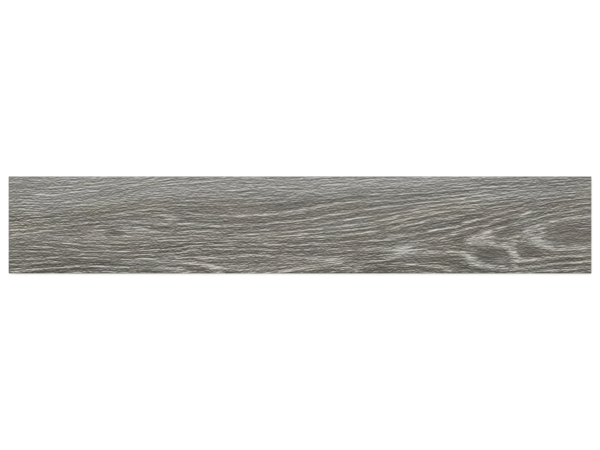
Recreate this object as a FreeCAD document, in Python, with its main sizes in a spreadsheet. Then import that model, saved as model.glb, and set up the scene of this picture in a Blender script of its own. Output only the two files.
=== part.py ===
import FreeCAD, Part
import os

import Sketcher
from FreeCAD import Vector

# A wood look porcelain plank tile, pressed, glazed, fired and ground to size as one piece.
# It lies with the wood face up. X runs along the plank, Y across it, and Z goes up from the
# plane on which the ribs of the back rest. The origin is in the middle of that plane.
# All lengths are in millimetres and all angles in degrees.

DRIVING_SIZES = [
    # name, value, what it measures
    ("plank_length", 1200.0, "ground length, end to end"),
    ("plank_width", 200.0, "ground width, long edge to long edge"),
    ("plank_thickness", 9.5, "ribs of the back to the wood face"),
    ("face_arris", 0.6, "ground bevel round the wood face, each way"),
    ("base_arris", 1.0, "bevel round the back, each way"),
    ("border_width", 7.5, "least plain border round the ribbed field of the back"),
    ("pocket_side", 27.75, "mouth of the pocket between four ribs, rib to rib"),
    ("rib_width", 3.5, "tip of one rib"),
    ("rib_height", 0.6, "ribs and border above the floor of the pockets"),
    ("rib_draft", 40.0, "lean of the ribs' sides, for release from the die"),
]

# The ribs repeat at this pitch, with as many pockets between them as fit inside the border.
# What is left over widens the border, the same on both sides, so the ribbed field follows
# the plank's outline.
PITCH = "(sizes.pocket_side + sizes.rib_width)"
ROOT_SPREAD = "sizes.rib_height * tan(sizes.rib_draft)"


def pocket_count(run):
    """Expression for how many pockets lie side by side along the named run of the plank."""
    return f"floor((sizes.{run} - 2 * sizes.border_width + sizes.rib_width) / {PITCH})"


def field_size(run):
    """Expression for the size of the ribbed field along the named run of the plank."""
    return f"({pocket_count(run)} * {PITCH} - sizes.rib_width)"


def make_sheet(doc):
    """The sheet of driving sizes, one named cell for each."""
    sheet = doc.addObject("Spreadsheet::Sheet", "sizes")
    for row, (name, value, meaning) in enumerate(DRIVING_SIZES, start=1):
        sheet.set(f"A{row}", name)
        sheet.set(f"B{row}", str(value))
        sheet.set(f"C{row}", meaning)
        sheet.setAlias(f"B{row}", name)
    doc.recompute()
    return sheet


def origin_feature(body, role):
    """One of the body's own planes or axes."""
    return next(feature for feature in body.Origin.OriginFeatures if feature.Role == role)


def new_sketch(body, name, plane):
    """An empty sketch on one of the body's planes."""
    sketch = body.newObject("Sketcher::SketchObject", name)
    sketch.AttachmentSupport = (origin_feature(body, plane), [""])
    sketch.MapMode = "FlatFace"
    return sketch


def draw_polygon(sketch, corners):
    """A closed run of lines through the corners, each line joined to the next."""
    count = len(corners)
    for index in range(count):
        line = Part.LineSegment(Vector(*corners[index]), Vector(*corners[(index + 1) % count]))
        sketch.addGeometry(line, False)
    for index in range(count):
        sketch.addConstraint(Sketcher.Constraint("Coincident", index, 2, (index + 1) % count, 1))


def bind(sketch, name, constraint, expression):
    """Adds a dimension, names it and ties it to the sheet."""
    index = sketch.addConstraint(constraint)
    sketch.renameConstraint(index, name)
    sketch.setExpression(f"Constraints.{name}", expression)


def centred_rectangle(body, name, length, width):
    """A rectangle on the plane of the ribs' tips, round the origin, of two bound sizes."""
    sketch = new_sketch(body, name, "XY_Plane")
    draw_polygon(sketch, [(-1, -1, 0), (1, -1, 0), (1, 1, 0), (-1, 1, 0)])
    front, right, back, left = range(4)
    for line in (front, back):
        sketch.addConstraint(Sketcher.Constraint("Horizontal", line))
    for line in (right, left):
        sketch.addConstraint(Sketcher.Constraint("Vertical", line))
    sketch.addConstraint(Sketcher.Constraint("Symmetric", front, 1, back, 1, -1, 1))
    bind(sketch, "length", Sketcher.Constraint("DistanceX", front, 1, front, 2, 2), length)
    bind(sketch, "width", Sketcher.Constraint("DistanceY", right, 1, right, 2, 2), width)
    return sketch


def rib_section(body, name, plane, run):
    """The section of the first rib along a run: a tip on the ground, and sides that spread."""
    sketch = new_sketch(body, name, plane)
    draw_polygon(sketch, [(-2, 0, 0), (-1, 0, 0), (0, 1, 0), (-3, 1, 0)])
    tip, high_side, root, low_side = range(4)
    origin = (-1, 1)
    sketch.addConstraint(Sketcher.Constraint("Horizontal", tip))
    sketch.addConstraint(Sketcher.Constraint("Horizontal", root))
    sketch.addConstraint(Sketcher.Constraint("PointOnObject", tip, 1, -1))
    width = Sketcher.Constraint("DistanceX", tip, 1, tip, 2, 1)
    height = Sketcher.Constraint("DistanceY", high_side, 1, high_side, 2, 1)
    high_spread = Sketcher.Constraint("DistanceX", high_side, 1, high_side, 2, 1)
    low_spread = Sketcher.Constraint("DistanceX", low_side, 1, low_side, 2, 1)
    to_middle = Sketcher.Constraint("DistanceX", tip, 1, *origin, 2)
    bind(sketch, "width", width, "sizes.rib_width")
    bind(sketch, "height", height, "sizes.rib_height")
    bind(sketch, "high_spread", high_spread, ROOT_SPREAD)
    bind(sketch, "low_spread", low_spread, ROOT_SPREAD)
    bind(sketch, "to_middle", to_middle, f"{field_size(run)} / 2 - sizes.pocket_side")
    return sketch


def level_face(feature, height):
    """The name of the feature's flat face that lies at this height."""
    for index, face in enumerate(feature.Shape.Faces, start=1):
        box = face.BoundBox
        if abs(box.ZMin - height) < 1e-6 and abs(box.ZMax - height) < 1e-6:
            return f"Face{index}"
    raise ValueError(f"{feature.Name} has no level face at {height}")


def bevel(body, base, name, height, size):
    """Bevels the slab all round its level face at this height."""
    feature = body.newObject("PartDesign::Chamfer", name)
    feature.Base = (base, [level_face(base, height)])
    feature.setExpression("Size", f"sizes.{size}")
    body.Document.recompute()
    return feature


def ribs(body, name, section, length, spacing_axis, run):
    """One rib across the recess, and its copies at the pitch, one between each two pockets."""
    rib = body.newObject("PartDesign::Pad", name)
    rib.Profile = section
    rib.Midplane = True
    rib.setExpression("Length", length)
    body.Document.recompute()
    row = body.newObject("PartDesign::LinearPattern", name + "_row")
    row.Originals = [rib]
    row.Direction = (origin_feature(body, spacing_axis), [""])
    row.Mode = "Spacing"
    row.setExpression("Offset", PITCH)
    row.setExpression("Occurrences", f"{pocket_count(run)} - 1")
    body.Tip = row
    body.Document.recompute()
    return row


def make_plank(doc, sheet):
    """The plank: a slab with bevelled edges, and a recess in its back that ribs divide."""
    body = doc.addObject("PartDesign::Body", "plank_tile")
    body.Label = "plank_tile"

    slab = body.newObject("PartDesign::Pad", "slab")
    slab.Profile = centred_rectangle(
        body, "outline", "sizes.plank_length", "sizes.plank_width"
    )
    slab.setExpression("Length", "sizes.plank_thickness")
    doc.recompute()
    face_bevel = bevel(body, slab, "face_bevel", sheet.plank_thickness, "face_arris")
    base_bevel = bevel(body, face_bevel, "base_bevel", 0, "base_arris")

    field_length = field_size("plank_length")
    field_width = field_size("plank_width")
    recess = body.newObject("PartDesign::Pocket", "back_recess")
    recess.Profile = centred_rectangle(body, "ribbed_field", field_length, field_width)
    recess.Reversed = True
    recess.setExpression("Length", "sizes.rib_height")
    recess.setExpression("TaperAngle", "-sizes.rib_draft")
    doc.recompute()

    long_section = rib_section(body, "long_rib_section", "YZ_Plane", "plank_width")
    ribs(body, "long_rib", long_section, field_length, "Y_Axis", "plank_width")
    cross_section = rib_section(body, "cross_rib_section", "XZ_Plane", "plank_length")
    ribs(body, "cross_rib", cross_section, field_width, "X_Axis", "plank_length")
    check_back(sheet, base_bevel, body.Tip)
    return body


def check_back(sheet, plain, ribbed):
    """Stops the build if the recess missed the slab, or if a rib is missing from it."""
    floors = [
        face
        for face in ribbed.Shape.Faces
        if abs(face.BoundBox.ZMin - sheet.rib_height) < 1e-6
        and abs(face.BoundBox.ZMax - sheet.rib_height) < 1e-6
    ]
    pitch = sheet.pocket_side + sheet.rib_width
    wanted = 1
    for run in (sheet.plank_length, sheet.plank_width):
        wanted *= int((run - 2 * sheet.border_width + sheet.rib_width) / pitch)
    removed = plain.Shape.Volume - ribbed.Shape.Volume
    mouths = wanted * sheet.pocket_side**2 * sheet.rib_height
    if len(floors) != wanted or not 0 < removed < mouths:
        raise RuntimeError(f"{len(floors)} pockets of {wanted}, {removed:.0f} mm3 removed")
    print(f"{wanted} pockets take {removed / 1000:.1f} cm3 from the back")


def check_document(doc, parts):
    """Stops the build on a failed object, or on a part that is not one valid solid."""
    for item in doc.Objects:
        if "Invalid" in item.State or "Error" in item.State:
            raise RuntimeError(f"{item.Name} failed: {item.State}")
    for part in parts:
        if part.Shape.isNull() or not part.Shape.isValid() or len(part.Shape.Solids) != 1:
            raise RuntimeError(f"{part.Label} is not one valid solid")


def main():
    doc = FreeCAD.newDocument("wood_look_plank")
    sheet = make_sheet(doc)
    parts = [make_plank(doc, sheet)]
    check_document(doc, parts)
    os.makedirs("parts", exist_ok=True)
    for part in parts:
        part.Shape.exportStep(f"parts/{part.Label}.step")
        box = part.Shape.BoundBox
        size = f"{box.XLength:.1f} x {box.YLength:.1f} x {box.ZLength:.1f} mm"
        print(f"{part.Label}: {size}, {part.Shape.Volume / 1000:.1f} cm3")


main()
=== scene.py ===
import math

import bmesh
import bpy
import numpy as np
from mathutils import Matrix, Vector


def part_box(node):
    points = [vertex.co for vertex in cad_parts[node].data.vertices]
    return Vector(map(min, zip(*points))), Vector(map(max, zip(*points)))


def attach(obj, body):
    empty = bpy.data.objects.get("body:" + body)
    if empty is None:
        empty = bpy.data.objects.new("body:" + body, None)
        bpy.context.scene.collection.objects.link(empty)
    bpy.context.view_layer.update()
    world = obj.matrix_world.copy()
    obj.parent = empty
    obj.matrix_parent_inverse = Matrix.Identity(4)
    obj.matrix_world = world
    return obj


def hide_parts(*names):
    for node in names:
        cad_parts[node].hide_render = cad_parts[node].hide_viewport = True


bl_info = {
    "name": "Wood look porcelain plank",
    "version": (1, 0, 0),
    "blender": (4, 5, 0),
    "location": "3D View > Sidebar > Plank",
    "description": "Gives a porcelain plank its wood relief, its printed glaze and a studio",
    "category": "Object",
}

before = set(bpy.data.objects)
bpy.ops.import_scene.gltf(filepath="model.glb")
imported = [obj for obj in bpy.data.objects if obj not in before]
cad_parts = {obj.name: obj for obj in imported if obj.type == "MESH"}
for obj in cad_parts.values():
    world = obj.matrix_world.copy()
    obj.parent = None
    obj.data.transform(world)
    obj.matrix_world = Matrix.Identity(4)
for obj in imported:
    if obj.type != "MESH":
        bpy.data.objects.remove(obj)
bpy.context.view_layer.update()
plank_low, plank_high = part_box("plank_tile")

# The growth rings of the printed board are drawn on a grid of squares over the wood face.
# x counts to the right and y down. The plank's left end and far edge are at this column and row,
# and it is this many squares long.
GRID_LEFT = 8.1
GRID_TOP = 175.9
SQUARES_ALONG = 582.8
SQUARE = (plank_high.x - plank_low.x) / SQUARES_ALONG

# The table that is worked out from the drawing has this many columns, one square apart, and rows
# this many squares apart, from this many squares before the far edge to this many past it.
COLUMNS = 600
ROW_STEP = 0.5
SQUARES_BEYOND = 4
SQUARES_DEEP = 104

# Drawn lines are smoothed over this many squares along, and ring numbers over this many down and
# along.
LINE_BLUR = 1.5
RING_BLUR = (0.5, 1.5)

# Half the width of a run of a light line, and of a dark line between two of them, in rings.
RUN_HALF_WIDTH = 0.45
GAP_HALF_WIDTH = 0.25

# Light lines are drawn as if no rings lay closer together or wider apart than this, in squares.
CLOSEST_RINGS = 2.5
WIDEST_RINGS = 11

# The fibres lean by this share of the rings' lean, smoothed over this many squares down and along,
# and rise this much more. For each square along they drop and rise no more than this, and rise
# less by this much at the arches, which come in from this row on over this many rows.
LEAN_BLUR = (8, 14)
LEAN_SHARE = 0.75
EXTRA_RISE = 0.02
MOST_DROP = 0.02
MOST_RISE = 0.21
LESS_AT_ARCHES = 0.11
ARCHES_TOP = 240
ARCHES_FADE = 20

# Fine streaks are laid along the fibres in two sets that take turns along the plank, each over
# this many squares. The noise of the second set is taken this far from that of the first.
FIBRE_SPAN = 110
SET_GAP = 50.0

# What each vertex of the wood face knows of its place in the board: the ring it lies on, how far
# apart the rings are, how fast the fibres cross them, how far they are turned out of the fibres,
# the shade, how lively the streaks and how bright the lines are, and its fibre in both sets.
BOARD = ("ring", "spacing", "slant", "turn", "shade", "vigour", "bright", "odd_fibre", "even_fibre")

# The streaks of the grain: how long and how wide they are, in metres, a number that keeps the
# noise of each kind apart, and how much finer detail it has.
STREAKS = {
    "serration": (0.020, 0.0032, 9.7, 1.0),
    "wander": (0.12, 0.008, 1.7, 0.0),
    "patches": (0.046, 0.0045, 4.3, 1.0),
    "dashes": (0.022, 0.0020, 29.3, 1.0),
    "medium": (0.200, 0.0036, 3.3, 0.0),
    "narrow": (0.050, 0.0022, 5.3, 0.0),
    "short": (0.020, 0.0024, 15.6, 0.0),
    "fine": (0.0050, 0.0021, 12.4, 1.0),
    "pores": (0.014, 0.0006, 21.9, 0.0),
    "specks": (0.0030, 0.0008, 27.1, 1.0),
    "hairs": (0.020, 0.00040, 41.3, 1.0),
    "clouds": (0.090, 0.040, 33.0, 1.0),
    "blush": (0.070, 0.030, 36.5, 1.0),
}

# A scored streak has its opposite this far beside it.
SCORE_GAP = 0.0020

# A light line is at least this wide. The dark beside it is this far away, and this wide.
LINE_WIDTH = 0.0006
FLANK_AWAY = 0.0056
FLANK_WIDTH = 0.0026

# Furrows that follow the rings: their length, how many there are from ring to ring, and the number
# that keeps their noise apart.
FURROW_LENGTH = 0.160
FURROWS_A_RING = 5.0
FURROW_SEED = 7.4

# The highest grain stays this far below the level of the wood face.
HAIR = 0.00001

# The coat under the glaze reaches down to this depth, give or take the blur.
COAT_DEPTH = 0.00040
COAT_BLUR = 0.00005

# The block that carries the relief is this much larger than the plank.
MARGIN = 0.004

# Corners of the pressed plank that are closer together than this are one corner.
WELD = 0.000005

# Faces of the finished plank that meet at less than this many degrees look smooth, and it has
# fewer triangles than this.
SMOOTH_BELOW = 28
MOST_TRIANGLES = 200000

# Rings above the heart of the board: the ring's number, and points along its light line. Where
# the word heart stands, the line has closed and lies on the heart line.
RINGS_ABOVE = {
    -3: [(8, 173.5), (30, 173.3), (50, 174.5), (70, 172.6), (110, 168), (150, 162.5), (180, 157),
         (592, 142)],
    2: [(8, 193.5), (30, 193.3), (50, 194.4), (70, 192.6), (90, 190.3), (110, 188.2), (130, 185.5),
        (150, 182.5), (165, 179.5), (180, 177), (240, 175), (300, 174.3), (400, 171), (592, 161)],
    8: [(8, 212), (30, 212.3), (50, 211.8), (70, 210.8), (85, 210), (100, 209.5), (112, 208.5),
        (125, 207), (140, 205.8), (150, 205), (160, 204), (170, 203.4), (180, 203.2), (190, 204),
        (205, 204.3), (235, 204), (250, 203), (270, 201.5), (290, 199.5), (310, 197.5),
        (325, 196.2), (340, 195.5), (352, 194), (365, 193.5), (380, 194), (395, 193.7), (405, 193),
        (420, 192.3), (435, 190.8), (450, 189.5), (465, 188.7), (480, 187.5), (500, 185.5),
        (520, 183.5), (540, 181.5), (592, 178)],
    9: [(8, 224), (20, 222.6), (30, 221.5), (45, 219.9), (60, 218.3), (75, 217.2), (85, 216.6),
        (100, 215.8), (110, 214.6), (120, 213.2), (130, 211.2), (140, 209.8), (150, 208.6),
        (160, 208), (168, 209), (178, 211), (190, 213.5), (200, 215.3), (210, 216), (232, 215.6),
        (244, 216), (260, 215.2), (270, 214), (280, 213), (290, 212), (297, 210.7), (305, 209),
        (312, 208), (320, 206), (330, 204.5), (340, 202.8), (350, 201.8), (370, 201), (390, 199.9),
        (400, 200), (410, 199.3), (420, 198), (430, 197.7), (440, 196.6), (450, 195.3),
        (470, 192.8), (484, 191), (500, 189.3), (520, 187), (540, 185.3), (560, 183.3),
        (592, 181)],
    10: [(8, 231), (20, 229.6), (30, 228.2), (50, 226), (60, 225.3), (70, 224.5), (80, 223.3),
         (90, 222.2), (100, 221.3), (110, 220.8), (120, 220.8), (130, 221.5), (140, 223),
         (150, 224), (170, 223.8), (185, 224), (200, 225), (220, 226), (232, 225.7), (250, 224.5),
         (260, 223.5), (270, 222.2), (290, 221.2), (300, 220.4), (310, 219), (320, 216.7),
         (330, 214.7), (337, 213.6), (345, 211.8), (352, 210.7), (370, 208.6), (390, 206),
         (410, 203.5), (430, 201.4), (450, 199.1), (460, 198), (470, 196.5), (480, 195),
         (490, 193.7), (500, 192.5), (520, 190.5), (550, 187), (592, 183.5)],
    11: [(8, 235.3), (20, 234), (30, 232.6), (40, 231.3), (50, 230), (57, 229), (75, 228.5),
         (85, 227.6), (92, 226.5), (100, 225), (107, 224.2), (115, 224.3), (122, 225),
         (130, 226.4), (137, 228.2), (143, 230.3), (150, 232), (160, 232.6), (170, 232.5),
         (180, 231.7), (190, 231), (215, 230.9), (245, 230.3), (260, 229.3), (280, 227.9),
         (290, 226.6), (310, 224.8), (320, 223.8), (330, 222.2), (338, 221), (346, 219.5),
         (352, 218.2), (362, 217.4), (370, 216.4), (386, 213.6), (405, 210.6), (425, 206.8),
         (435, 205), (445, 203.6), (465, 201), (484, 198.7), (495, 197.2), (515, 194.7),
         (535, 192.3), (560, 190), (592, 187.5)],
    12: [(8, 237.5), (20, 236.8), (40, 236), (50, 235.8), (60, 236.5), (70, 237.8), (80, 238.5),
         (100, 238.6), (118, 238.1), (130, 237.8), (150, 237.7), (170, 237), (190, 235.6),
         (212, 235), (225, 234.2), (235, 233.6), (255, 233.8), (265, 233.5), (285, 231.7),
         (300, 230), (320, 228), (340, 226.2), (350, 224.8), (360, 223.2), (380, 220.2),
         (390, 218), (400, 215), (410, 213), (420, 211), (430, 209.3), (440, 207.8), (450, 206.6),
         (460, 206.5), (470, 205.8), (484, 204), (495, 202), (515, 199.2), (535, 195.7),
         (550, 193.5), (592, 190.5)],
    13: [(8, 239.8), (30, 238.5), (50, 238.2), (60, 239.2), (70, 240.3), (80, 241), (108, 241.3),
         (126, 241.5), (145, 241), (165, 240.2), (185, 239.5), (195, 238.6), (225, 237.8),
         (245, 237), (275, 236.4), (285, 235.8), (295, 234.8), (305, 233.2), (325, 231.4),
         (345, 229.7), (365, 227), (385, 223.4), (395, 221.5), (405, 219), (415, 217),
         (425, 214.7), (435, 212.4), (445, 210.8), (455, 209.8), (475, 209.4), (484, 208.2),
         (495, 206.4), (505, 205.2), (515, 202.8), (525, 200.7), (535, 198.8), (545, 197.6),
         (570, 195), (592, 193)],
    14: [(8, 241.5), (20, 241), (40, 240.3), (50, 240.6), (57, 241.3), (65, 242), (72, 243),
         (80, 244.3), (88, 245), (110, 245.8), (126, 245.4), (145, 244.3), (165, 243.3),
         (185, 242.2), (205, 241.2), (235, 240.3), (265, 239.4), (285, 238.6), (305, 236.9),
         (325, 236.2), (345, 234.3), (365, 232.3), (385, 228.8), (405, 224.5), (425, 220.7),
         (445, 217), (455, 214.6), (465, 213.2), (480, 212), (490, 211), (500, 210), (508, 208.8),
         (516, 208), (523, 206.1), (530, 204.1), (537, 203), (545, 200.8), (553, 199.4),
         (560, 198.1), (576, 196.6), (592, 194.9)],
    15: [(8, 247), (25, 246), (35, 245.7), (42, 246), (50, 247.6), (60, 248.8), (70, 249.3),
         (80, 250.5), (88, 251), (100, 250.5), (126, 251.2), (145, 250), (165, 248.8), (185, 247),
         (192, 246), (200, 245), (220, 244), (262, 243.7), (280, 244.3), (295, 244.8),
         (310, 243.6), (330, 243), (340, 242.2), (350, 241), (370, 240.3), (380, 239),
         (390, 237.7), (410, 234.5), (425, 231.2), (445, 228), (455, 226), (462, 223.7),
         (470, 220.8), (480, 218.3), (487, 217), (495, 214), (503, 212.2), (508, 210.3),
         (516, 209.4), (523, 207.5), (530, 205.5), (537, 204.2), (545, 202), (553, 200.8),
         (560, 199.5), (576, 198), (592, 196.3)],
    16: [(8, 250), (30, 250.8), (50, 251.8), (60, 252.8), (80, 253.3), (98, 254.8), (126, 254.8),
         (145, 254), (165, 253), (180, 251.3), (188, 250), (195, 249), (203, 248), (212, 247.6),
         (240, 248.5), (250, 247.8), (276, 249.7), (292, 248.9), (300, 249.5), (320, 248.6),
         (338, 248.5), (354, 247.8), (370, 247.8), (380, 247.6), (388, 247.8), (395, 247),
         (400, 245.4), (408, 243), (415, 241.5), (433, 238.6), (447, 235.2), (453, 232.7),
         (460, 230.2), (467, 228.6), (484, 224.3), (492, 221.8), (500, 219.5), (512, 217),
         (518, 216), (524, 214), (530, 212), (545, 209.8), (565, 206), (592, 201)],
    17: [(8, 259.3), (30, 258.9), (45, 258), (55, 256.9), (75, 257), (98, 258.8), (126, 259.4),
         (148, 258.4), (168, 258.6), (186, 257.4), (195, 256.9), (205, 257.6), (225, 258),
         (235, 257), (246, 255.8), (262, 255.1), (272, 256.2), (292, 256.4), (305, 257),
         (312, 257.8), (325, 258.6), (337, 259.7), (341, 260.2), "heart", (468, 238.8),
         (471, 236.5), (477, 234), (484, 231), (490, 228.8), (507, 225.2), (522, 221.6),
         (530, 219), (545, 215.6), (560, 212), (580, 208.8), (592, 207.5)],
    18: [(8, 264.5), (20, 263.6), (30, 262.6), (40, 261.9), (50, 261.5), (60, 261.6), (85, 261.3),
         (115, 262.4), (140, 262), (170, 261.5), (180, 261.8), (190, 262.8), (200, 263.8),
         (215, 265.5), (225, 267.5), "heart", (514, 238), (517, 236), (521, 233.8), (526, 231.3),
         (531, 229), (536, 226.4), (541, 223.8), (548, 221.6), (565, 218.2), (575, 216.3),
         (592, 214)],
    19: [(8, 272), (20, 270.3), (30, 269), (50, 267.2), (60, 267.3), (70, 266), (80, 265.4),
         (110, 266.3), (150, 266.5), (160, 267), (170, 268.5), (180, 270), (200, 274), "heart"],
}

# The heart line, on which the arches of the board close: points, each with its ring number.
HEART = [
    (8, 284, 22), (100, 283, 22), (160, 280, 21), (200, 274, 19), (225, 267.5, 18),
    (250, 263.5, 17.9), (280, 261.5, 17.7), (310, 260.5, 17.45), (335, 260, 17.1),
    (345, 259.8, 16.95), (370, 255, 16.4), (400, 250, 16.0), (420, 247.5, 16.15),
    (440, 244, 16.5), (455, 241, 16.65), (463, 239.5, 16.75), (468, 238.8, 17.0),
    (484, 238, 17.05), (490, 237.5, 17.15), (500, 236.8, 17.5), (514, 238, 18),
    (525, 237.5, 18.03), (533, 238, 18.08), (545, 237, 18.4), (556, 235, 18.65), (592, 232, 18.8),
]

# Rings below the heart line.
RINGS_BELOW = {
    18: ["heart", (514, 238), (521, 238.6), (527, 239.6), (534, 241.3), (540, 243.4), (546, 246),
         (553, 248.6), (562, 249.4), (572, 248.7), (582, 248), (592, 246.5)],
    17: [(8, 300), (225, 283), (250, 277), (270, 273), (285, 270.5), (300, 268), (315, 266.2),
         (325, 264.8), (335, 262.6), (341, 260), "heart", (468, 238.8), (471, 240.6), (478, 242.2),
         (490, 243.8), (500, 245.2), (508, 247), (512, 250.5), (513, 255), (516, 259.8),
         (522, 260.7), (530, 260), (540, 258.6), (550, 257.2), (570, 255.4), (592, 254.7)],
    16: [(8, 310), (270, 290), (300, 279), (320, 273.5), (335, 269), (350, 264.6), (362, 262.4),
         (372, 261.6), (380, 260.2), (388, 258.3), (395, 257), (402, 255.2), (410, 254.4),
         (430, 252.9), (440, 252.3), (450, 251.2), (461, 253.3), (468, 256.4), (472, 260.5),
         (476, 264), (483, 266.4), (495, 267.6), (505, 268.3), (515, 268), (535, 266),
         (555, 263.4), (575, 262), (592, 260.5)],
    15: [(8, 330), (300, 290), (340, 275), (350, 270.5), (362, 266.8), (375, 265.6), (400, 264.4),
         (410, 264.1), (420, 264.6), (430, 265.7), (450, 268.8), (475, 272), (490, 273.2),
         (505, 273.5), (520, 271.8), (540, 270.3), (575, 268), (592, 267.3)],
    14: [(8, 350), (300, 310), (340, 285), (360, 276), (400, 272.5), (430, 273), (460, 277),
         (500, 279), (540, 277), (592, 274.5)],
}

# How much lighter the wood is from ring to ring, where 1 is from black to white: the ring, and
# how much at the left end, in the middle and at the right end, which are these columns.
TONE_COLUMNS = (60, 300, 540)
TONES = [
    (1, 0.03, 0.03, 0.03), (3, 0.02, 0.03, 0.05), (5, 0.06, 0.05, 0.05), (6.5, 0.02, 0.02, 0.0),
    (8, 0.0, 0.0, 0.0), (9.5, 0.03, 0.0, -0.02), (10.5, -0.05, -0.01, 0.045),
    (11.5, 0.04, 0.03, 0.03), (12.5, 0.01, 0.02, 0.02), (13.5, -0.04, -0.01, -0.05),
    (14.5, -0.02, -0.02, 0.0), (15.5, -0.02, -0.035, -0.015), (16.5, 0.0, -0.02, -0.01),
    (17.5, -0.03, 0.06, 0.03), (19.5, -0.09, -0.03, -0.01),
]

# Brighter and fainter runs of the light lines, by ring: middle x, half length, how much brighter.
# A ring below the heart line is written with a minus.
RUNS = {
    2: [(80, 40, 2.6)],
    3: [(20, 25, 0.6), (180, 25, -0.4), (270, 30, -0.8)],
    4: [(110, 110, -0.9), (385, 40, -0.9)],
    5: [(25, 30, -1.0), (130, 22, -0.8), (230, 25, -0.8), (355, 60, -0.8)],
    6: [(80, 25, -0.7), (385, 25, 0.5), (530, 20, -0.8)],
    7: [(60, 50, -0.3), (185, 25, -0.4), (235, 30, 0.6), (295, 22, 0.5), (430, 30, -0.4),
        (530, 20, -0.7)],
    8: [(293, 18, 0.9), (575, 28, -1.2)],
    9: [(85, 30, -0.7), (183, 24, -1.0), (260, 50, 0.5), (365, 15, 0.5), (480, 40, 0.4),
        (570, 25, -0.3)],
    10: [(85, 22, 0.4), (138, 25, -0.7), (285, 25, 0.3), (450, 80, 0.5), (575, 25, -0.5)],
    11: [(30, 25, 0.5), (95, 45, -0.6), (188, 30, 0.8), (240, 18, -0.8), (285, 22, -0.6),
         (342, 18, 0.9), (385, 22, -0.5), (475, 45, 0.5), (560, 40, -0.8)],
    12: [(90, 40, -0.5), (318, 20, 0.6), (190, 30, -0.3), (430, 30, -0.4), (477, 18, 0.9)],
    13: [(30, 30, -0.6), (120, 25, 0.4), (185, 25, 0.9), (385, 25, 0.4), (460, 10, -0.5),
         (495, 14, 0.5)],
    14: [(30, 35, -0.8), (135, 25, -0.4), (300, 80, 0.4), (405, 12, 0.6), (525, 34, -1.0)],
    15: [(140, 30, 0.4), (185, 20, 0.4), (270, 170, 0.5), (390, 14, 0.3), (400, 50, 0.5),
         (456, 10, 0.6), (550, 45, -0.5)],
    16: [(50, 15, -0.8), (85, 25, -0.4), (185, 25, 0.8), (285, 25, -0.6), (330, 20, 0.7),
         (357, 7, -0.6), (402, 12, 0.3), (443, 6, -0.5), (532, 18, 0.7)],
    17: [(160, 50, 0.7), (336, 9, 0.6), (461, 5, -0.7), (488, 13, 0.6)],
    18: [(30, 25, 1.0), (98, 26, -1.2), (200, 18, 0.8), (508, 8, -0.8), (528, 9, 0.1),
         (548, 8, 0.5), (575, 20, -0.3)],
    19: [(98, 32, 1.1)],
    -15: [(400, 30, 0.3), (560, 40, 0.8), (487, 25, -1.0)],
    -16: [(325, 22, -1.0), (368, 12, 0.6), (403, 8, 0.4), (432, 8, 0.6), (467, 14, 0.4),
          (525, 30, 0.8), (580, 25, 0.8)],
    -17: [(461, 5, -0.7), (560, 35, 0.5), (508, 10, 0.4)],
    -18: [(541, 12, 0.4)],
}

# Dark lines between the light ones: middle x, ring, as for the runs, half length, how much darker.
GAPS = [
    (190, 3.5, 22, 0.07), (292, 8.3, 20, 0.09), (100, 10.75, 22, 0.08), (240, 11.35, 22, 0.08),
    (62, 13.4, 18, 0.10), (150, 13.5, 25, 0.06), (463, 14.6, 10, 0.06), (180, 14.5, 28, 0.12),
    (165, 15.5, 25, 0.08), (488, 15.4, 12, 0.07), (100, 17.9, 28, 0.08), (478, -15.4, 22, 0.14),
    (515, -16.5, 15, 0.05), (572, -16.6, 25, 0.12),
]

# Small eyes in the grain: middle x and y, half length, half width, rings added in the middle.
EYES = [
    (112, 231, 24, 4.5, 0.9), (160, 216.5, 20, 3.2, 0.75), (232, 267, 14, 2.0, -0.5),
]
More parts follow.
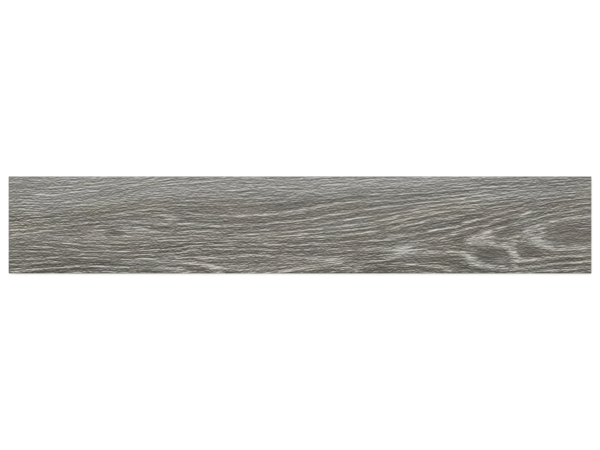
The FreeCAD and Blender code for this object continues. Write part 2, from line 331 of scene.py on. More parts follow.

# Lighter and darker places: middle x and y, half length, half width, how much lighter, and how
# much livelier the streaks are. The thin dark bands along the near edge, at rows 272 and 273, are
# painted shade of the side that faces away from the light.
SHADES = [
    (300, 178, 420, 18, 0.10, -0.1), (50, 200, 90, 7, 0.03, 0.0), (575, 186, 34, 18, -0.04, 0.0),
    (300, 273, 420, 12, -0.02, 0.2), (300, 212, 120, 16, -0.01, -0.15),
    (400, 205, 70, 12, 0.01, -0.2), (80, 222, 70, 8, -0.02, 0.0), (110, 231, 12, 4, -0.05, -0.1),
    (40, 248, 50, 7, -0.02, 0.0), (60, 262, 60, 9, -0.06, 0.0), (95, 264, 30, 5, -0.06, 0.0),
    (85, 203, 25, 2.5, 0.05, 0.0), (485, 182, 24, 2.5, -0.05, 0.0),
    (185, 243, 28, 10, -0.035, 0.0), (235, 232.5, 28, 2.5, -0.07, 0.0),
    (12, 221, 18, 9, -0.03, 0.4), (172, 270, 11, 4, 0.06, 0.0), (178, 247, 45, 8, 0.0, 0.4),
    (443, 212, 13, 3, 0.05, 0.0), (492, 214.5, 12, 2, 0.05, 0.0), (468, 214, 10, 3, -0.04, -0.2),
    (450, 223, 22, 3, -0.04, 0.0), (198, 268, 13, 4, -0.06, -0.2), (212, 265, 9, 3, -0.04, 0.0),
    (234, 267, 11, 3.5, 0.08, 0.0), (275, 268, 25, 5, 0.04, 0.0), (332, 271, 24, 4, -0.05, 0.0),
    (372, 266, 22, 7, -0.07, 0.0), (440, 262, 34, 6, -0.05, 0.0), (488, 255, 14, 7, -0.06, -0.5),
    (503, 226, 26, 9, -0.03, -0.2), (527, 250, 15, 5, -0.08, -0.4),
    (570, 234, 24, 11, -0.02, -0.3), (540, 258, 18, 4, -0.03, 0.0),
    (124, 232.5, 11, 4, -0.11, -0.3), (116, 238, 12, 1.3, 0.10, 0.0),
    (104, 267, 9, 1.5, 0.12, 0.0), (162, 217.5, 8, 1.2, 0.10, 0.0), (256, 235, 10, 1.5, 0.08, 0.0),
    (218, 271, 12, 2, -0.18, 0.0), (277, 266, 10, 1.3, -0.10, 0.0),
    (392, 253.3, 10, 1.5, -0.10, 0.0), (462, 240, 9, 3, -0.06, 0.0),
    (504, 258.8, 8, 2.5, 0.17, 0.0), (466, 262, 8, 3.5, 0.09, 0.0), (459, 251, 9, 1.3, -0.07, 0.0),
    (508, 252.3, 5, 1.5, -0.08, 0.0), (472, 257, 6, 4, 0.05, 0.0), (517, 250, 7, 3, 0.10, 0.0),
    (500, 243, 50, 14, -0.045, 0.0), (400, 249, 16, 4, -0.035, 0.0),
    (420, 199, 50, 6, -0.025, 0.0), (490, 232, 38, 6, -0.025, 0.0), (530, 230, 12, 4, -0.03, 0.0),
    (540, 229, 7, 3, -0.08, 0.0), (536, 237, 8, 1.2, -0.07, 0.0), (548, 238.6, 9, 1.2, 0.08, 0.0),
    (490, 236.5, 7, 1.5, -0.09, 0.0), (468, 243.5, 8, 1.5, -0.10, 0.0),
    (500, 265.3, 8, 1.2, -0.04, 0.0), (513, 264.5, 7, 2, -0.10, 0.0),
    (465, 269.5, 9, 1.2, -0.08, 0.0), (562, 271.2, 20, 1.2, -0.06, 0.0),
    (180, 230, 26, 24, -0.015, 0.0), (325, 216, 25, 7, 0.01, 0.0), (515, 217, 22, 6, 0.02, 0.0),
    (510, 202, 28, 6, -0.03, 0.0), (388, 268, 18, 4, -0.05, 0.0), (575, 264, 25, 7, -0.03, 0.0),
    # Painted shade along the near edge: the long thin band at row 273 here and the two at row
    # 272.5.
    (225, 250, 70, 8, -0.02, 0.0), (300, 273, 2000, 1.4, -0.11, 0.0),
    (560, 266, 50, 6, -0.02, 0.0), (90, 272.5, 35, 1.5, -0.06, 0.0), (25, 270, 22, 2, 0.05, 0.0),
    (420, 272.5, 20, 1.5, -0.06, 0.0), (568, 223, 18, 3, -0.04, 0.0),
    (502, 187, 14, 2, -0.04, 0.0),
]


def bell(values, spread):
    """The values along the first axis, smoothed over this many steps."""
    reach = int(3 * spread) + 1
    weights = np.exp(-0.5 * (np.arange(-reach, reach + 1) / spread) ** 2)
    weights /= weights.sum()
    edges = [(reach, reach)] + [(0, 0)] * (values.ndim - 1)
    padded = np.pad(values, edges, mode="edge")
    return sum(
        weight * padded[step : step + len(values)] for step, weight in enumerate(weights)
    )


def soften(table, down, along):
    """The table smoothed over this many squares down and along."""
    return bell(bell(table, down / ROW_STEP).T, along).T


def spot(along, half_length, down, half_width):
    """One where both distances are nought, falling off over these half sizes."""
    return np.exp(-((along / half_length) ** 2 + (down / half_width) ** 2))


def ring_line(number, points, columns, heart_row, heart_ring):
    """The row and the ring number of one ring's line at each column."""
    runs = [[]]
    for point in points:
        if point == "heart":
            runs.append([])
        else:
            runs[-1].append(point)
    row = heart_row.copy()
    ring = heart_ring.copy()
    for index, run in enumerate(runs):
        if not run:
            continue
        along, down = np.array(run, float).T
        start = -1 if index == 0 else along[0]
        end = COLUMNS if index == len(runs) - 1 else along[-1]
        drawn = (columns >= start) & (columns <= end)
        row[drawn] = np.interp(columns[drawn], along, down)
        ring[drawn] = number
    return bell(row, LINE_BLUR), ring


def ring_lines(columns):
    """Row and ring number of every line at each column, far edge first, and the heart's row."""
    heart = np.array(HEART, float).T
    heart_row = np.interp(columns, heart[0], heart[1])
    heart_ring = np.interp(columns, heart[0], heart[2])
    above, below = (
        [ring_line(*ring, columns, heart_row, heart_ring) for ring in rings.items()]
        for rings in (RINGS_ABOVE, RINGS_BELOW)
    )
    return above + [(bell(heart_row, LINE_BLUR), heart_ring)] + below, heart_row


def ring_numbers(columns, rows, lines):
    """The ring number at each place, evenly spread between the lines and raised at the eyes."""
    ring = np.repeat(lines[0][1][None, :], len(rows), axis=0)
    for (row_a, ring_a), (row_b, ring_b) in zip(lines, lines[1:]):
        share = (rows - row_a) / np.maximum(row_b - row_a, 0.05)
        ring = ring + (ring_b - ring_a) * np.clip(share, 0, 1)
    for x, y, half_length, half_width, height in EYES:
        ring = ring + height * spot(columns - x, half_length, rows - y, half_width)
    return soften(ring, *RING_BLUR)


def fibre_lean(rows, along, down):
    """How far the fibres drop for each square to the right, from the slopes of the ring number."""
    ring_lean = -soften(along * down, *LEAN_BLUR) / soften(down * down, *LEAN_BLUR)
    arches = np.clip((rows - ARCHES_TOP) / ARCHES_FADE, 0, 1)
    steepest = -MOST_RISE + LESS_AT_ARCHES * arches
    return np.clip(LEAN_SHARE * ring_lean - EXTRA_RISE, steepest, MOST_DROP)


def ring_tones(columns, ring):
    """How much lighter the wood is, by its ring and its column."""
    left, middle, right = (np.interp(ring, *np.array(TONES)[:, [0, n]].T) for n in (1, 2, 3))
    share = np.interp(columns, TONE_COLUMNS, (0, 1, 2))
    ends = left * np.clip(1 - share, 0, 1) + right * np.clip(share - 1, 0, 1)
    return ends + middle * (1 - np.abs(share - 1))


def board_shades(columns, rows, ring, numbered):
    """The shade of the board and the liveliness of its streaks at each place."""
    shade = ring_tones(columns, ring)
    for x, number, half_length, darker in GAPS:
        here = spot(columns - x, half_length, numbered - number, GAP_HALF_WIDTH)
        shade = shade - darker * here
    vigour = np.ones_like(ring)
    for x, y, half_length, half_width, lighter, livelier in SHADES:
        here = spot(columns - x, half_length, rows - y, half_width)
        shade = shade + lighter * here
        vigour = vigour + livelier * here
    return shade, vigour


def line_brightness(columns, numbered):
    """How bright the light lines are at each place, where 1 is as usual."""
    bright = np.ones_like(numbered)
    for number, runs in RUNS.items():
        for x, half_length, brighter in runs:
            here = spot(columns - x, half_length, numbered - number, RUN_HALF_WIDTH)
            bright = bright + brighter * here
    return np.maximum(bright, 0)


def ring_table():
    """A table over the grid for each name of BOARD."""
    columns = np.arange(COLUMNS, dtype=float)
    rows = np.arange(GRID_TOP - SQUARES_BEYOND, GRID_TOP + SQUARES_DEEP, ROW_STEP)[:, None]
    lines, heart_row = ring_lines(columns)
    ring = ring_numbers(columns, rows, lines)
    down, along = np.gradient(ring, ROW_STEP, 1.0)
    steepness = np.hypot(down, along)
    spacing = 1 / np.clip(steepness, 1 / WIDEST_RINGS, 1 / CLOSEST_RINGS)
    lean = fibre_lean(rows, along, down)
    slant = along + lean * down
    numbered = np.where(rows > heart_row, -ring, ring)
    shade, vigour = board_shades(columns, rows, ring, numbered)
    return {
        "ring": ring,
        "spacing": spacing * SQUARE,
        "slant": slant / SQUARE,
        "turn": np.abs(slant) / np.maximum(steepness, 1e-4),
        "shade": shade,
        "vigour": vigour,
        "bright": line_brightness(columns, numbered),
        "odd_fibre": -crossings(lean, rows[:, 0], FIBRE_SPAN // 2) * SQUARE,
        "even_fibre": -crossings(lean, rows[:, 0], 0) * SQUARE,
    }


def crossings(lean, rows, first):
    """The row where the fibre through each place crosses the nearest of a set of columns."""
    found = np.zeros_like(lean)
    for middle in range(first, COLUMNS + FIBRE_SPAN, FIBRE_SPAN):
        for step in (1, -1):
            drift = np.zeros(len(rows))
            for column in range(middle, middle + step * (FIBRE_SPAN // 2 + 1), step):
                if 0 <= column < COLUMNS:
                    found[:, column] = rows + drift
                shift = step * lean[:, min(max(column, 0), COLUMNS - 1)]
                drift = np.interp(rows - shift, rows, drift) - shift
    return found


def write_rings(mesh, table):
    """Gives each vertex its place in the board, as the attributes that the nodes read."""
    place = np.empty(len(mesh.vertices) * 3, np.float32)
    mesh.vertices.foreach_get("co", place)
    place = place.reshape(-1, 3)
    column = (place[:, 0] - plank_low.x) / SQUARE + GRID_LEFT
    row = ((plank_high.y - place[:, 1]) / SQUARE + SQUARES_BEYOND) / ROW_STEP
    left = np.clip(np.floor(column).astype(int), 0, COLUMNS - 2)
    top = np.clip(np.floor(row).astype(int), 0, len(table["ring"]) - 2)
    across = np.clip(column - left, 0, 1)
    down = np.clip(row - top, 0, 1)
    for name, values in table.items():
        upper = values[top, left] * (1 - across) + values[top, left + 1] * across
        lower = values[top + 1, left] * (1 - across) + values[top + 1, left + 1] * across
        found = (upper * (1 - down) + lower * down).astype(np.float32)
        layer = mesh.attributes.get(name) or mesh.attributes.new(name, "FLOAT", "POINT")
        layer.data.foreach_set("value", found)


class Wire:
    """An output of a node. An expression on wires adds its Math nodes."""

    def __init__(self, sheet, socket):
        self.sheet = sheet
        self.socket = socket

    def __add__(self, other):
        return self.sheet.math("ADD", self, other)

    def __radd__(self, other):
        return self.sheet.math("ADD", other, self)

    def __sub__(self, other):
        return self.sheet.math("SUBTRACT", self, other)

    def __rsub__(self, other):
        return self.sheet.math("SUBTRACT", other, self)

    def __mul__(self, other):
        return self.sheet.math("MULTIPLY", self, other)

    def __truediv__(self, other):
        return self.sheet.math("DIVIDE", self, other)

    def __rtruediv__(self, other):
        return self.sheet.math("DIVIDE", other, self)

    def __neg__(self):
        return self.sheet.math("MULTIPLY", self, -1.0)

    def __abs__(self):
        return self.sheet.math("ABSOLUTE", self)

    def step(self, low, high):
        """Nought below low, one above high, and smooth between."""
        settings = {"interpolation_type": "SMOOTHSTEP"}
        return self.sheet.add("ShaderNodeMapRange", {0: self, 1: low, 2: high}, settings)

    def bump(self, width):
        """One where the value is nought, falling off over this width to each side."""
        ratio = self / width
        return self.sheet.math("EXPONENT", -(ratio * ratio))


class Sheet:
    """A node tree, and the one way in which nodes are added to it."""

    def __init__(self, tree):
        self.tree = tree

    def add(self, kind, sockets=None, settings=None, output=0):
        """Adds a node, sets it up, and gives its sockets these values or wires."""
        node = self.tree.nodes.new(kind)
        for name, value in (settings or {}).items():
            if name == "stops":
                set_stops(node.color_ramp, value)
            else:
                setattr(node, name, value)
        for key, value in (sockets or {}).items():
            if isinstance(value, Wire):
                self.tree.links.new(value.socket, node.inputs[key])
            else:
                node.inputs[key].default_value = value
        return Wire(self, node.outputs[output] if len(node.outputs) else None)

    def math(self, operation, *values):
        """One Math node on these values and wires."""
        return self.add("ShaderNodeMath", dict(enumerate(values)), {"operation": operation})

    def noise(self, place, detail=0.0):
        """Noise about nought, from about -0.5 to 0.5, at a place of three values."""
        vector = self.add("ShaderNodeCombineXYZ", dict(enumerate(place)))
        sockets = {"Vector": vector, "Scale": 1.0, "Detail": detail}
        return self.add("ShaderNodeTexNoise", sockets) - 0.5

    def blend(self, share, first, second, kind="MIX"):
        """One colour over another, by a share of nought to one."""
        settings = {"data_type": "RGBA", "blend_type": kind}
        return self.add("ShaderNodeMix", {0: share, 6: first, 7: second}, settings, output=2)


def set_stops(ramp, stops):
    """Gives a colour ramp these stops, each a place and a colour."""
    while len(ramp.elements) > 1:
        ramp.elements.remove(ramp.elements[-1])
    for index, (place, colour) in enumerate(stops):
        element = ramp.elements[0] if index == 0 else ramp.elements.new(place)
        element.position = place
        element.color = (*colour, 1.0)


def read_board(sheet):
    """Wires for what each vertex knows of its place in the board, and for x and y."""
    lie = {}
    in_geometry = sheet.tree.type == "GEOMETRY"
    for name in BOARD:
        if in_geometry:
            kind = "GeometryNodeInputNamedAttribute"
            lie[name] = sheet.add(kind, {"Name": name}, {"data_type": "FLOAT"})
        else:
            kind = "ShaderNodeAttribute"
            lie[name] = sheet.add(kind, None, {"attribute_name": name}, output="Fac")
    if in_geometry:
        place = sheet.add("GeometryNodeInputPosition")
    else:
        place = sheet.add("ShaderNodeTexCoord", output="Object")
    for output, name in enumerate(("along", "across")):
        lie[name] = sheet.add("ShaderNodeSeparateXYZ", {0: place}, output=output)
    phase = (lie["along"] - plank_low.x) / SQUARE + (GRID_LEFT - FIBRE_SPAN / 2)
    phase = phase * (math.pi / FIBRE_SPAN)
    lie["odd_share"] = abs(sheet.math("COSINE", phase))
    lie["even_share"] = abs(sheet.math("SINE", phase))
    return lie


def streaks(sheet, lie, kind, beside=0.0):
    """Noise about nought, drawn out along the fibres, as it is this far beside each place."""
    length, width, seed, detail = STREAKS[kind]
    along = lie["along"] / length
    sets = []
    for name, own in (("odd", 0.0), ("even", SET_GAP)):
        across = lie[name + "_fibre"] / width
        if beside:
            across = across + beside / width
        sets.append(sheet.noise((along, across, seed + own), detail) * lie[name + "_share"])
    return sets[0] + sets[1]


def scored(sheet, lie, kind):
    """Streaks that each have their opposite close beside them, as lit and shaded edges have."""
    return streaks(sheet, lie, kind) - streaks(sheet, lie, kind, SCORE_GAP)


def light_lines(sheet, lie):
    """The light ring lines, and the dark on both sides of each."""
    # Above the eighth ring there are many thin lines, which wander and often fade.
    outer = 1 - lie["ring"].step(7.6, 9.0)
    # Where the rings lie far apart and along the fibres, their lines break up into dashes.
    loose = lie["spacing"].step(0.013, 0.023) * (1 - lie["turn"].step(0.05, 0.25))
    wander = streaks(sheet, lie, "wander") * (outer * 0.75 + 0.04)
    serration = streaks(sheet, lie, "serration") * (lie["slant"] * 0.070 + 0.22)
    ring = lie["ring"] + wander + serration
    off_line = abs(sheet.math("FRACT", ring + 0.5) - 0.5)
    # A line is thin along the fibres, and broad where it crosses them, as at the arches.
    thin = LINE_WIDTH / lie["spacing"] + 0.05 + loose * 0.06
    broad = lie["slant"] * 0.022
    width = sheet.math("MINIMUM", sheet.math("SQRT", thin * thin + broad * broad), 0.48)
    patches = (streaks(sheet, lie, "patches") * 1.3 + 0.80 - outer * 0.4).step(0.0, 1.2)
    dashes = streaks(sheet, lie, "dashes") * (loose * 3.2 + 0.5)
    crest = off_line.bump(width) * patches * lie["bright"] * (1 - loose * 0.35 + dashes)
    flank = (off_line * lie["spacing"] - FLANK_AWAY).bump(FLANK_WIDTH)
    return crest, flank


def grain(sheet, lie):
    """The grain that colour and relief share: light lines, the dark beside them, and streaks."""
    crest, flank = light_lines(sheet, lie)
    medium = streaks(sheet, lie, "medium")
    narrow = scored(sheet, lie, "narrow")
    short = scored(sheet, lie, "short")
    place = (lie["along"] / FURROW_LENGTH, lie["ring"] * FURROWS_A_RING, FURROW_SEED)
    furrow = sheet.noise(place) * (1 - lie["turn"].step(0.05, 0.20))
    streak = (medium * 0.15 + narrow * 0.30 + short * 0.46 + furrow * 0.15) * lie["vigour"]
    streak = streak * (crest * 0.35 + 0.86)
    return crest, flank, streak + streak * streak


def srgb(*levels):
    """A colour of the screen, written 0 to 255, as the light that it stands for."""
    shares = [level / 255 for level in levels]
    return tuple(s / 12.92 if s <= 0.04045 else ((s + 0.055) / 1.055) ** 2.4 for s in shares)


def relief_tree(settings):
    """Nodes that lower the wood face between the light lines and along the dark streaks."""
    tree = bpy.data.node_groups.new("wood relief", "GeometryNodeTree")
    for way in ("INPUT", "OUTPUT"):
        tree.interface.new_socket("Geometry", in_out=way, socket_type="NodeSocketGeometry")
    sheet = Sheet(tree)
    shape = sheet.add("NodeGroupInput")
    crest, flank, streak = grain(sheet, read_board(sheet))
    height = (0.5 + streak * 1.1 + crest * 0.35 - flank * 0.15).step(0.0, 1.0)
    drop = (height - 1) * settings.relief_depth - HAIR
    offset = sheet.add("ShaderNodeCombineXYZ", {2: drop})
    moved = sheet.add("GeometryNodeSetPosition", {"Geometry": shape, "Offset": offset})
    sheet.add("NodeGroupOutput", {0: moved})
    return tree


def empty_material(name):
    """A material without nodes, and the sheet that its nodes go on."""
    material = bpy.data.materials.new(name)
    material.use_nodes = True
    material.node_tree.nodes.clear()
    return material, Sheet(material.node_tree)


def add_surface(sheet, colour, roughness, relief, strength, depth):
    """The one surface of a material, with fine relief of this strength and depth."""
    sockets = {"Strength": strength, "Distance": depth, "Height": relief}
    normal = sheet.add("ShaderNodeBump", sockets)
    sockets = {"Base Color": colour, "Roughness": roughness, "Normal": normal}
    surface = sheet.add("ShaderNodeBsdfPrincipled", sockets)
    sheet.add("ShaderNodeOutputMaterial", {0: surface})


def glaze_material(settings):
    """The printed matt glaze: a grey board with light ring lines and fine dark streaks."""
    material, sheet = empty_material("wood_glaze")
    lie = read_board(sheet)
    crest, flank, streak = grain(sheet, lie)
    fine = scored(sheet, lie, "fine") * lie["vigour"]
    pores = streaks(sheet, lie, "pores").step(0.13, 0.24)
    specks = streaks(sheet, lie, "specks")
    hairs = streaks(sheet, lie, "hairs")
    tone = settings.shade + lie["shade"] + crest * 0.30 - flank * 0.03
    tone = tone + streak + fine * 0.70 - pores * 0.12 + specks * 0.20 + hairs * 0.24
    stops = [
        (0.10, srgb(40, 37, 31)),
        (0.30, srgb(78, 75, 67)),
        (0.44, srgb(113, 111, 104)),
        (0.50, srgb(127, 126, 120)),
        (0.61, srgb(155, 154, 150)),
        (0.72, srgb(183, 183, 180)),
        (0.90, srgb(225, 225, 223)),
    ]
    colour = sheet.add("ShaderNodeValToRGB", {0: tone}, {"stops": stops})
    # Warm and rosy clouds, more of both towards the near edge.
    near = 1 - lie["across"].step(0.025, 0.085)
    warmth = (near * 0.55 + streaks(sheet, lie, "clouds") * 1.75 + 0.07).step(-0.1, 1.1)
    colour = sheet.blend(warmth, colour, (1.0, 0.985, 0.875, 1.0), "MULTIPLY")
    redness = (near * 0.50 + streaks(sheet, lie, "blush") * 2.6 + 0.01).step(-0.1, 1.1)
    colour = sheet.blend(redness, colour, (1.0, 0.955, 0.975, 1.0), "MULTIPLY")
    roughness = 0.56 - crest * 0.05 + fine * 0.10
    relief = streak * 0.5 + fine * 0.5 - pores * 0.4 + specks * 0.2 + hairs * 0.4
    add_surface(sheet, colour, roughness, relief, strength=0.35, depth=0.0004)
    return material


def biscuit_material(settings):
    """The unglazed fired body that shows on the ground edges, the bevels and the back."""
    material, sheet = empty_material("porcelain_biscuit")
    place = sheet.add("ShaderNodeTexCoord", output="Object")
    height = sheet.add("ShaderNodeSeparateXYZ", {0: place}, output="Z")
    sockets = {"Vector": place, "Scale": 900.0, "Detail": 2.0}
    speckle = sheet.add("ShaderNodeTexNoise", sockets)
    clouds = sheet.add("ShaderNodeTexNoise", {**sockets, "Scale": 14.0})
    dark = (*[0.82 * c for c in settings.body_colour], 1.0)
    light = (*[1.10 * c for c in settings.body_colour], 1.0)
    grit = ((speckle - 0.5) * 1.6 + (clouds - 0.5) * 0.8 + 0.5).step(0.0, 1.0)
    colour = sheet.blend(grit, dark, light)
    coat_floor = plank_high.z - COAT_DEPTH
    coat = height.step(coat_floor - COAT_BLUR, coat_floor + COAT_BLUR)
    colour = sheet.blend(coat, colour, (*settings.engobe_colour, 1.0))
    roughness = 0.78 + (speckle - 0.5) * 0.2
    add_surface(sheet, colour, roughness, speckle, strength=0.3, depth=0.0003)
    return material


def select_only(item):
    """Selects this object and nothing else, and makes it active."""
    bpy.ops.object.select_all(action="DESELECT")
    item.select_set(True)
    bpy.context.view_layer.objects.active = item


def relief_block(settings, table):
    """A closed block a little larger than the plank, with the wood relief on its top."""
    bpy.ops.object.select_all(action="DESELECT")
    bpy.ops.mesh.primitive_grid_add(
        x_subdivisions=settings.cells_along,
        y_subdivisions=settings.cells_across,
        size=1.0,
        location=(0, 0, plank_high.z),
    )
    block = bpy.context.object
    block.name = "plank"
    length = plank_high.x - plank_low.x + MARGIN
    width = plank_high.y - plank_low.y + MARGIN
    block.scale = (length, width, 1)
    bpy.ops.object.transform_apply(location=True, rotation=False, scale=True)
    write_rings(block.data, table)

    relief = block.modifiers.new("wood relief", "NODES")
    relief.node_group = relief_tree(settings)
    bpy.ops.object.modifier_apply(modifier=relief.name)
    close_below(block)
    return block


def close_below(block):
    """Draws the edges of the relief down to a level under the plank, and closes them there."""
    bpy.ops.object.mode_set(mode="EDIT")
    bpy.ops.mesh.select_mode(type="EDGE")
    bpy.ops.mesh.select_all(action="DESELECT")
    shape = bmesh.from_edit_mesh(block.data)
    for edge in shape.edges:
        edge.select = edge.is_boundary
    bmesh.update_edit_mesh(block.data)
    drop = plank_high.z + MARGIN
    bpy.ops.mesh.extrude_edges_move(TRANSFORM_OT_translate={"value": (0, 0, -drop)})
    bpy.ops.transform.resize(value=(1, 1, 0), center_override=(0, 0, -MARGIN))
    bpy.ops.mesh.edge_face_add()
    bpy.ops.mesh.select_all(action="SELECT")
    bpy.ops.mesh.normals_make_consistent(inside=False)
    bpy.ops.object.mode_set(mode="OBJECT")


def pressed_copy():
    """A closed copy of the pressed and ground plank, ribs, bevels and all."""
    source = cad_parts["plank_tile"]
    copy = source.copy()
    copy.data = source.data.copy()
    copy.name = "pressed_copy"
    copy.parent = None
    bpy.context.scene.collection.objects.link(copy)
    select_only(copy)
    bpy.ops.object.mode_set(mode="EDIT")
    bpy.ops.mesh.select_all(action="SELECT")
    bpy.ops.mesh.remove_doubles(threshold=WELD)
    bpy.ops.object.mode_set(mode="OBJECT")
    return copy


def cut_to_shape(plank, pressed):
    """Cuts the block with the relief to the edges, bevels and back of the pressed plank."""
    select_only(plank)
    cut = plank.modifiers.new("ground edges and back", "BOOLEAN")
    cut.operation = "INTERSECT"
    cut.solver = "MANIFOLD"
    cut.object = pressed
    bpy.ops.object.modifier_apply(modifier=cut.name)
    bpy.data.objects.remove(pressed)


def require_closed(item):
    """Stops if the mesh is open or has MOST_TRIANGLES triangles or more."""
    shape = bmesh.new()
    shape.from_mesh(item.data)
    open_edges = sum(len(edge.link_faces) != 2 for edge in shape.edges)
    triangles = sum(len(face.verts) - 2 for face in shape.faces)
    volume = shape.calc_volume(signed=True)
    shape.free()
    print(f"{item.name}: {triangles} triangles, {open_edges} open edges, {volume * 1e6:.1f} cm3")
    if open_edges or triangles >= MOST_TRIANGLES or volume <= 0:
        raise RuntimeError(f"{item.name} isn't a closed mesh of under {MOST_TRIANGLES}")


class PlankSettings(bpy.types.PropertyGroup):
    relief_depth: bpy.props.FloatProperty(
        name="Relief depth",
        description="Deepest grain below the highest points of the wood face",
        default=0.00040,
        min=0.0,
        max=0.0008,
        precision=5,
        subtype="DISTANCE",
        unit="LENGTH",
    )
    cells_along: bpy.props.IntProperty(
        name="Cells along",
        description="Cells of the relief along the plank",
        default=270,
        min=20,
        max=300,
    )
    cells_across: bpy.props.IntProperty(
        name="Cells across",
        description="Cells of the relief across the plank",
        default=345,
        min=20,
        max=400,
    )
    shade: bpy.props.FloatProperty(
        name="Shade",
        description="Shade of the board between the light lines, from black at 0 to white at 1",
        default=0.459,
        min=0.0,
        max=1.0,
        subtype="FACTOR",
    )
    body_colour: bpy.props.FloatVectorProperty(
        name="Body colour",
        description="Colour of the unglazed fired body",
        default=(0.29, 0.275, 0.245),
        min=0.0,
        max=1.0,
        size=3,
        subtype="COLOR",
    )
    engobe_colour: bpy.props.FloatVectorProperty(
        name="Engobe colour",
        description="Colour of the thin coat under the glaze, where the bevel cuts it",
        default=(0.24, 0.23, 0.21),
        min=0.0,
        max=1.0,
        size=3,
        subtype="COLOR",
    )


class StageSettings(bpy.types.PropertyGroup):
    floor_colour: bpy.props.FloatVectorProperty(
        name="Floor colour",
        description="Colour of the plain floor",
        default=(0.82, 0.82, 0.82),
        min=0.0,
        max=1.0,
        size=3,
        subtype="COLOR",
    )
    floor_glow: bpy.props.FloatProperty(
        name="Floor glow",
        description="Light that is added to the floor where the camera sees it, to make it white",
        default=0.45,
        min=0.0,
        max=1.0,
    )
    room_level: bpy.props.FloatProperty(
        name="Room level",
        description="Even light from all round",
        default=0.62,
        min=0.0,
        max=2.0,
    )
    lamp_level: bpy.props.FloatProperty(
        name="Lamp level",
        description="Share of the light that the overhead lamp gives to a level face",
        default=0.36,
        min=0.0,
        max=2.0,
    )
    lens: bpy.props.FloatProperty(
        name="Lens",
        description="Focal length of the camera",
        default=100.0,
        min=20.0,
        max=400.0,
        unit="CAMERA",
    )
    frame_width: bpy.props.FloatProperty(
        name="Frame width",
        description="Width of what the camera sees at the wood face",
        default=1.2348,
        min=0.5,
        max=5.0,
        unit="LENGTH",
    )


class PLANK_OT_make(bpy.types.Operator):
    """Makes the plank: wood relief, ground edges, ribbed back, glaze and body"""

    bl_idname = "plank.make"
    bl_label = "Make the plank"

    def execute(self, context):
        settings = context.scene.plank_settings
        table = ring_table()
        glaze = glaze_material(settings)
        biscuit = biscuit_material(settings)
        plank = relief_block(settings, table)
        pressed = pressed_copy()
        for index, item in enumerate((plank, pressed)):
            item.data.materials.clear()
            item.data.materials.append(glaze)
            item.data.materials.append(biscuit)
            item.data.polygons.foreach_set("material_index", [index] * len(item.data.polygons))
        cut_to_shape(plank, pressed)
        write_rings(plank.data, table)
        bpy.ops.object.shade_smooth_by_angle(angle=math.radians(SMOOTH_BELOW))
        require_closed(plank)
        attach(plank, "root")
        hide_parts("plank_tile")
        return {"FINISHED"}


class PLANK_OT_stage(bpy.types.Operator):
    """Makes the stage: a pale floor, soft overhead light and a camera above the plank"""

    bl_idname = "plank.stage"
    bl_label = "Make the stage"

    def execute(self, context):
        settings = context.scene.stage_settings
        make_floor(settings)
        make_light(settings)
        make_camera(settings)
        context.scene.view_settings.view_transform = "Standard"
        return {"FINISHED"}


def seen_ray(sheet):
    """One for a ray that the camera, a mirror or glass sends, nought for one that only lights."""
    seen = sheet.add("ShaderNodeLightPath", output="Is Camera Ray")
    for name in ("Is Glossy Ray", "Is Transmission Ray"):
        seen = sheet.math("MAXIMUM", seen, sheet.add("ShaderNodeLightPath", output=name))
    return seen


def make_floor(settings):
    """A wide level floor on which the plank lies. Seen from the camera it is plain white."""
    bpy.ops.object.select_all(action="DESELECT")
    bpy.ops.mesh.primitive_plane_add(size=14.0, location=(0, 0, 0))
    floor = bpy.context.object
    floor.name = "floor"
    material, sheet = empty_material("floor")
    matt = sheet.add("ShaderNodeBsdfDiffuse", {"Color": (*settings.floor_colour, 1.0)})
    strength = seen_ray(sheet) * settings.floor_glow
    glow = sheet.add("ShaderNodeEmission", {"Strength": strength})
    both = sheet.add("ShaderNodeAddShader", {0: matt, 1: glow})
    sheet.add("ShaderNodeOutputMaterial", {0: both})
    floor.data.materials.append(material)


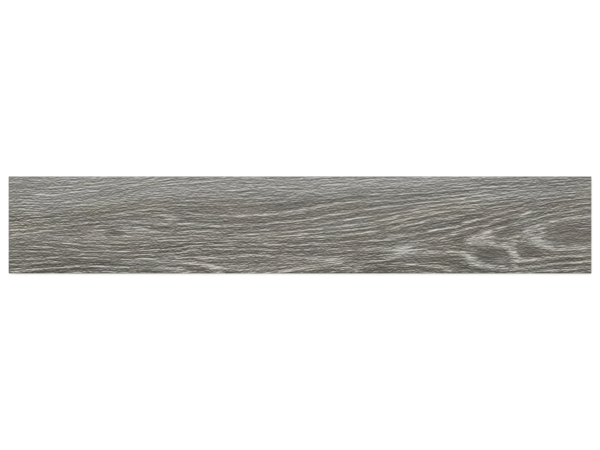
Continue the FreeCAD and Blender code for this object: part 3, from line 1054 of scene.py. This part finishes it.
def make_light(settings):
    """Even light from the room, and one broad soft lamp high over the plank."""
    world = bpy.data.worlds.new("studio")
    world.use_nodes = True
    world.node_tree.nodes.clear()
    sheet = Sheet(world.node_tree)
    level = settings.room_level
    strength = level + seen_ray(sheet) * (1.0 - level)
    background = sheet.add("ShaderNodeBackground", {"Strength": strength})
    sheet.add("ShaderNodeOutputWorld", {0: background})
    bpy.context.scene.world = world

    bpy.ops.object.light_add(type="SUN", location=(-0.6, 0.9, 3.0))
    lamp = bpy.context.object
    lamp.name = "broad_lamp"
    lamp.rotation_euler = (math.radians(-16), math.radians(-12), 0)
    lamp.data.angle = math.radians(60)
    lamp.data.energy = settings.lamp_level * math.pi


def make_camera(settings):
    """A camera straight above the plank, as the photograph was taken."""
    camera = bpy.data.objects.new("camera", bpy.data.cameras.new("camera"))
    bpy.context.scene.collection.objects.link(camera)
    camera.data.sensor_width = 36.0
    camera.data.lens = settings.lens
    distance = settings.frame_width * settings.lens / camera.data.sensor_width
    camera.location = (0, 0, plank_high.z + distance)
    camera.data.clip_end = 50.0
    bpy.context.scene.camera = camera


class PLANK_PT_sidebar(bpy.types.Panel):
    """Lists the plank's pieces and their settings"""

    bl_idname = "PLANK_PT_sidebar"
    bl_label = "Plank"
    bl_space_type = "VIEW_3D"
    bl_region_type = "UI"
    bl_category = "Plank"

    def draw(self, context):
        scene = context.scene
        groups = ((scene.plank_settings, "plank.make"), (scene.stage_settings, "plank.stage"))
        for settings, operator in groups:
            column = self.layout.column()
            for name in settings.__annotations__:
                column.prop(settings, name)
            column.operator(operator)


CLASSES = (PlankSettings, StageSettings, PLANK_OT_make, PLANK_OT_stage, PLANK_PT_sidebar)


def register():
    for item in CLASSES:
        bpy.utils.register_class(item)
    bpy.types.Scene.plank_settings = bpy.props.PointerProperty(type=PlankSettings)
    bpy.types.Scene.stage_settings = bpy.props.PointerProperty(type=StageSettings)


def unregister():
    del bpy.types.Scene.stage_settings
    del bpy.types.Scene.plank_settings
    for item in reversed(CLASSES):
        bpy.utils.unregister_class(item)


def main():
    register()
    bpy.ops.plank.make()
    bpy.ops.plank.stage()


if __name__ == "__main__":
    main()
